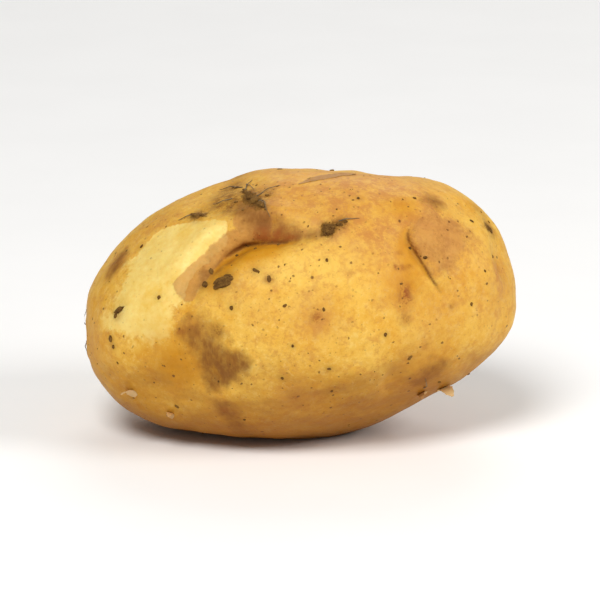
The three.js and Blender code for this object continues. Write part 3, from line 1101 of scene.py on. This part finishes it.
# Rootlets: along, around, heading in degrees from lengthwise, length, how far the middle stands off
ROOTLETS = [
    (-0.11, 8, 150, 6.5, 0.5), (-0.1, 12, 60, 5, 0.4), (-0.05, 20, 20, 6, 0.5),
    (-0.04, 24, -55, 5.5, 0.6), (-0.16, 16, 190, 4.5, 0.3), (-0.02, 30, 100, 4, 0.3),
    (-0.09, 6, -80, 5, 0.6), (0.3, 43, -10, 4.5, 0.3), (-0.34, 17, 170, 4, 0.3),
    (0.46, 146, 70, 4.5, 0.8), (-0.3, 310, 200, 7, 0.6), (0.18, 244, 60, 6, 0.5),
    (-0.62, 320, 20, 5, 0.4), (0.56, 304, 130, 6, 0.6), (0.9, 286, 100, 5, 0.5),
    (-0.97, 20, 60, 4, 0.6), (-0.97, 50, 190, 3.6, 0.5),
]


def skin_tree():
    """The finished skin, to lay things on."""
    skin = bpy.data.objects[SKIN_PIECE]
    return BVHTree.FromObject(skin, bpy.context.evaluated_depsgraph_get())


def on_skin(tree, along, around):
    """The outermost point of the skin at a place, and its normal."""
    direction = heading_of(unit_place(along, around))
    point, normal, _, _ = tree.ray_cast(CENTRE + direction * HALF.x * 3, -direction)
    return point, normal


def skin_spot(tree, along, around, turn):
    """A place on the finished skin with flat axes, as spot_at gives for the body."""
    centre, out = on_skin(tree, along, around)
    ahead, _ = on_skin(tree, min(along + 0.04, 0.995), around)
    x_axis = ahead - centre if along < 0.95 else centre - on_skin(tree, along - 0.04, around)[0]
    x_axis = (x_axis - out * x_axis.dot(out)).normalized()
    x_axis = Matrix.Rotation(math.radians(turn), 3, out) @ x_axis
    return Spot(centre, out, x_axis, x_axis.cross(out))


DROP_FROM = 6  # how far above a spot the search for the skin starts, in millimetres
DROP_REACH = 30  # how far it goes


def drop(tree, spot, x, y):
    """The point of the skin under a flat point of a spot, and the skin's normal there."""
    start = spot.centre + spot.x_axis * x + spot.y_axis * y + spot.out * DROP_FROM * MM
    point, normal, _, _ = tree.ray_cast(start, -spot.out, DROP_REACH * MM)
    return point, normal


FINER_ABOVE = (0.2, 0.6, 1.2)  # half lengths in millimetres; past each, a crumb's mesh is a step finer
CRUMB_HEIGHT = 0.48  # half a crumb's height, as a share of half its width
CRUMB_RISE = 0.22  # how far its middle stands off the skin, as a share of half its height


def add_crumb(bm, dryness, point, normal, half_length, half_width, turn, seed):
    """A rough crumb, sunk into the skin. dryness is the layer that says how dry each of its points is."""
    fineness = 1 + sum(half_length > limit * MM for limit in FINER_ABOVE)
    made = bmesh.ops.create_icosphere(bm, subdivisions=fineness, radius=1.0)["verts"]
    shift = Vector((seed * 3.7, seed * 1.9, seed * 7.3))
    for vert in made:
        rough = 1 + 0.38 * noise.noise(vert.co * 1.3 + shift) + 0.2 * noise.noise(vert.co * 3.4 + shift)
        vert.co *= rough
        vert[dryness] = 0.5 + 0.9 * noise.noise(shift)
    half_height = CRUMB_HEIGHT * half_width
    size = Matrix.Diagonal((half_length, half_width, half_height, 1))
    lay = normal.to_track_quat("Z", "X").to_matrix().to_4x4() @ Matrix.Rotation(math.radians(turn), 4, "Z")
    place = Matrix.Translation(point + normal * half_height * CRUMB_RISE)
    bmesh.ops.transform(bm, matrix=place @ lay @ size, verts=made)


def scatter_crumbs(bm, dryness, settings):
    """Small crumbs all over, more of them in hollows and near the smears."""
    mesh = bpy.data.objects[SKIN_PIECE].data
    marks = {}
    for name in ("hollow", "smear", "rubbed", "lip_shadow"):
        values = np.empty(len(mesh.vertices), np.float32)
        mesh.attributes[name].data.foreach_get("value", values)
        marks[name] = values
    smeared = bell(np.minimum(marks["smear"], 0) / (5 * MM))
    weight = 0.25 + 2.5 * np.clip(marks["hollow"], 0, 1) + 3.5 * smeared + 1.5 * marks["lip_shadow"]
    weight *= np.where(marks["rubbed"] > 0, 0.35, 1)
    dice = random.Random(settings.seed)
    places = dice.choices(range(len(weight)), weights=weight.tolist(), k=settings.crumbs)
    for count, index in enumerate(places):
        vert = mesh.vertices[index]
        radius = settings.smallest + (settings.largest - settings.smallest) * dice.random() ** 2.6
        if near_box(vert.co, 1.5 * radius):
            continue
        long, turn = radius * dice.uniform(1, 1.7), dice.uniform(0, 180)
        add_crumb(bm, dryness, vert.co, vert.normal, long, radius, turn, count)


def add_flake(bm, rim, tree, spot, size, lifted_from, curl, dryness, seed):
    """A thin ragged flake that lies on the skin and curls up at one end. rim is the layer that says how
    near each of its points is to the flake's edge."""
    made = bmesh.ops.create_grid(bm, x_segments=48, y_segments=16, size=1.0)["verts"]
    hinge = lifted_from * size[0] / 2
    for vert in made:
        u, v = vert.co.x, vert.co.y
        flat = Vector((u * math.sqrt(1 - v * v / 2), v * math.sqrt(1 - u * u / 2), 0))
        shift = Vector((0, 0, seed))
        uneven = 1 + 0.42 * noise.noise(flat * 1.5 + shift)
        torn = uneven + 0.32 * noise.noise(Vector((flat.x * size[0] / size[1], flat.y, 0)) * 2 + shift)
        x, y = flat.x * size[0] / 2 * uneven, flat.y * size[1] / 2 * torn
        past = max(0.0, x - hinge)
        lift = curl * (1 - math.cos(past / curl))
        x_laid = min(x, hinge) + curl * math.sin(past / curl)
        point, normal = drop(tree, spot, x_laid, y)
        if point is None:
            point, normal = spot.centre, spot.out
        warp = 0.1 * MM * (1 + noise.noise(flat * 3 + shift))
        vert.co = point + normal * (lift + warp * (0.3 + flat.length**3))
        vert[rim] = max(0.85 * flat.length, 0.5 + 0.55 * dryness)


ROOTLET_STEPS = 14
ROOTLET_SIDES = 6


def add_rootlet(bm, tree, spot, run, stand_off, radius, seed):
    """A fine tapering root hair that wanders over the skin."""
    heading, x, y = 0.0, 0.0, 0.0
    line = []
    for i in range(ROOTLET_STEPS + 1):
        point, normal = drop(tree, spot, x, y)
        if point is None:
            break
        share = i / ROOTLET_STEPS
        line.append(point + normal * (radius * 0.6 + stand_off * math.sin(math.pi * share) ** 2 * 0.8))
        heading += 0.5 * noise.noise(Vector((seed * 4.1, i * 0.6, 0)))
        x += run / ROOTLET_STEPS * math.cos(heading)
        y += run / ROOTLET_STEPS * math.sin(heading)
    ring, edges = None, None
    for i, point in enumerate(line):
        ahead = (line[min(i + 1, len(line) - 1)] - line[max(i - 1, 0)]).normalized()
        thick = radius * (1 - 0.65 * i / len(line))
        lay = Matrix.Translation(point) @ ahead.to_track_quat("Z", "X").to_matrix().to_4x4()
        verts = bmesh.ops.create_circle(bm, radius=thick, segments=ROOTLET_SIDES, matrix=lay)["verts"]
        bm.verts.index_update()
        loop = list({edge for vert in verts for edge in vert.link_edges})
        if edges:
            bmesh.ops.bridge_loops(bm, edges=edges + loop)
        else:
            bmesh.ops.contextual_create(bm, geom=verts)
        ring, edges = verts, loop
    if ring:
        bmesh.ops.contextual_create(bm, geom=ring)


# ----------------------------------------------------------------------------
# The operators


def add_marks(mesh, marks):
    for name, values in marks.items():
        kept = mesh.attributes.new(name, "FLOAT", "POINT")
        kept.data.foreach_set("value", np.asarray(values, np.float32))


class POTATO_OT_skin(bpy.types.Operator):
    """Build the skin of the tuber, with its eyes and patches"""

    bl_idname = "potato.skin"
    bl_label = "Build Skin"

    def execute(self, context):
        scene = context.scene
        bm, marks = shape_skin(scene.potato_skin)
        piece = finish_piece(bm, SKIN_PIECE, skin_material(scene.potato_skin, scene.potato_soil))
        add_marks(piece.data, marks)
        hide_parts(NODE)
        return {"FINISHED"}


class POTATO_OT_soil(bpy.types.Operator):
    """Build the crumbs of soil that stick to the skin"""

    bl_idname = "potato.soil"
    bl_label = "Build Soil"

    def execute(self, context):
        settings = context.scene.potato_soil
        tree = skin_tree()
        bm = bmesh.new()
        dryness = bm.verts.layers.float.new("dryness")
        for count, (along, around, half_length, half_width, turn) in enumerate(CRUMBS):
            point, normal = on_skin(tree, along, around)
            size = (half_length * MM, half_width * MM)
            add_crumb(bm, dryness, point, normal, *size, turn, 500 + count)
        scatter_crumbs(bm, dryness, settings)
        finish_piece(bm, "soil_crumbs", soil_material(settings))
        return {"FINISHED"}


class POTATO_OT_loose_skin(bpy.types.Operator):
    """Build the flakes of loose skin"""

    bl_idname = "potato.loose_skin"
    bl_label = "Build Loose Skin"

    def execute(self, context):
        scene = context.scene
        tree = skin_tree()
        bm = bmesh.new()
        rim = bm.verts.layers.float.new("rim")
        for count, flake in enumerate(FLAKES):
            along, around, turn, long, wide, lifted_from, curl, dryness = flake
            spot = skin_spot(tree, along, around, turn)
            size = (long * MM, wide * MM)
            add_flake(bm, rim, tree, spot, size, lifted_from, curl * MM, dryness, count * 2.7)
        material = loose_skin_material(scene.potato_loose_skin, scene.potato_soil)
        thickness = scene.potato_loose_skin.thickness
        piece = finish_piece(bm, "loose_skin", material, 1.1 * thickness)
        wall = piece.modifiers.new("thickness", "SOLIDIFY")
        wall.thickness = thickness
        wall.offset = 1.0
        return {"FINISHED"}


class POTATO_OT_rootlets(bpy.types.Operator):
    """Build the dry root hairs"""

    bl_idname = "potato.rootlets"
    bl_label = "Build Rootlets"

    def execute(self, context):
        scene = context.scene
        settings = scene.potato_rootlets
        tree = skin_tree()
        bm = bmesh.new()
        for count, (along, around, heading, run, stand_off) in enumerate(ROOTLETS):
            spot = skin_spot(tree, along, around, heading)
            add_rootlet(bm, tree, spot, run * MM, stand_off * MM, settings.thickness, count)
        bmesh.ops.recalc_face_normals(bm, faces=bm.faces)
        finish_piece(bm, "rootlets", rootlet_material(settings, scene.potato_soil))
        return {"FINISHED"}


class POTATO_OT_stage(bpy.types.Operator):
    """Build the studio: the floor, the lights and the camera"""

    bl_idname = "potato.stage"
    bl_label = "Build Studio"

    def execute(self, context):
        build_floor(context.scene.potato_stage)
        build_lights()
        build_camera(context.scene.potato_stage)
        return {"FINISHED"}


class POTATO_PT_sidebar(bpy.types.Panel):
    """The potato's sizes and colours, and what builds it"""

    bl_idname = "POTATO_PT_sidebar"
    bl_label = "Potato"
    bl_space_type = "VIEW_3D"
    bl_region_type = "UI"
    bl_category = "Potato"

    def draw(self, context):
        for operator, name in SECTIONS:
            box = self.layout.box()
            box.operator(operator.bl_idname)
            settings = getattr(context.scene, name)
            for key in settings.__annotations__:
                box.prop(settings, key)


def build_floor(settings):
    material, graph, shader = new_material("pale_floor", 0.85)
    tone = graph.ramp(graph.noise(graph.place(), 40 * MM, 3.0, 0.5), 0.3, 0.7, 0.985, 1.0)
    grey = graph.node("ShaderNodeCombineColor", {"Red": tone, "Green": tone, "Blue": tone})
    graph.feed(shader.inputs["Base Color"], graph.mix(1.0, settings.floor, grey.outputs[0], "MULTIPLY"))
    shader.inputs["Specular IOR Level"].default_value = 0.1
    bm = bmesh.new()
    bmesh.ops.create_circle(bm, cap_ends=True, radius=4.0, segments=96)
    mesh = bpy.data.meshes.new("floor")
    bm.to_mesh(mesh)
    bm.free()
    mesh.materials.append(material)
    floor = bpy.data.objects.new("floor", mesh)
    bpy.context.scene.collection.objects.link(floor)


# Each lamp: name, where it stands from the potato, width, power in watts
LAMPS = [
    ("key", (-0.3, -0.75, 1.0), 0.6, 11.7),
    ("right_fill", (0.9, -0.35, 0.6), 0.5, 5.9),
    ("back_fill", (0.1, 1.0, 0.8), 0.8, 4.0),
]
SKY_STRENGTH = 0.22


def build_lights():
    scene = bpy.context.scene
    world = bpy.data.worlds.new("studio")
    world.use_nodes = True
    world.node_tree.nodes["Background"].inputs["Color"].default_value = (1, 1, 1, 1)
    world.node_tree.nodes["Background"].inputs["Strength"].default_value = SKY_STRENGTH
    scene.world = world
    for name, stand, width, power in LAMPS:
        lamp = bpy.data.lights.new(name, "AREA")
        lamp.shape = "DISK"
        lamp.size = width
        lamp.energy = power
        light = bpy.data.objects.new(name, lamp)
        light.location = CENTRE + Vector(stand)
        light.rotation_euler = (-Vector(stand)).to_track_quat("-Z", "Y").to_euler()
        scene.collection.objects.link(light)
    scene.view_settings.view_transform = "Standard"
    scene.view_settings.look = "None"


SENSOR = 36  # width in millimetres, the unit that Blender gives a lens in


def build_camera(settings):
    lens = bpy.data.cameras.new("camera")
    lens.sensor_width = SENSOR
    lens.lens = lens.sensor_width * settings.distance / settings.view_width
    camera = bpy.data.objects.new("camera", lens)
    back = Vector((
        math.sin(settings.azimuth) * math.cos(settings.elevation),
        -math.cos(settings.azimuth) * math.cos(settings.elevation),
        math.sin(settings.elevation),
    ))
    camera.location = CENTRE + back * settings.distance
    camera.rotation_euler = (-back).to_track_quat("-Z", "Y").to_euler()
    bpy.context.scene.collection.objects.link(camera)
    bpy.context.scene.camera = camera


# Each operator in the order that it is run, with the name of its settings
SECTIONS = [
    (POTATO_OT_stage, "potato_stage"),
    (POTATO_OT_skin, "potato_skin"),
    (POTATO_OT_soil, "potato_soil"),
    (POTATO_OT_loose_skin, "potato_loose_skin"),
    (POTATO_OT_rootlets, "potato_rootlets"),
]
CLASSES = [
    PotatoSkinSettings,
    PotatoSoilSettings,
    PotatoLooseSkinSettings,
    PotatoRootletSettings,
    PotatoStageSettings,
    POTATO_OT_skin,
    POTATO_OT_soil,
    POTATO_OT_loose_skin,
    POTATO_OT_rootlets,
    POTATO_OT_stage,
    POTATO_PT_sidebar,
]
SETTINGS = {
    "potato_skin": PotatoSkinSettings,
    "potato_soil": PotatoSoilSettings,
    "potato_loose_skin": PotatoLooseSkinSettings,
    "potato_rootlets": PotatoRootletSettings,
    "potato_stage": PotatoStageSettings,
}


def register():
    for cls in CLASSES:
        bpy.utils.register_class(cls)
    for name, group in SETTINGS.items():
        setattr(bpy.types.Scene, name, PointerProperty(type=group))


def unregister():
    for name in SETTINGS:
        delattr(bpy.types.Scene, name)
    for cls in reversed(CLASSES):
        bpy.utils.unregister_class(cls)


def main():
    register()
    bpy.ops.potato.stage()
    bpy.ops.potato.skin()
    bpy.ops.potato.soil()
    bpy.ops.potato.loose_skin()
    bpy.ops.potato.rootlets()


if __name__ == "__main__":
    main()
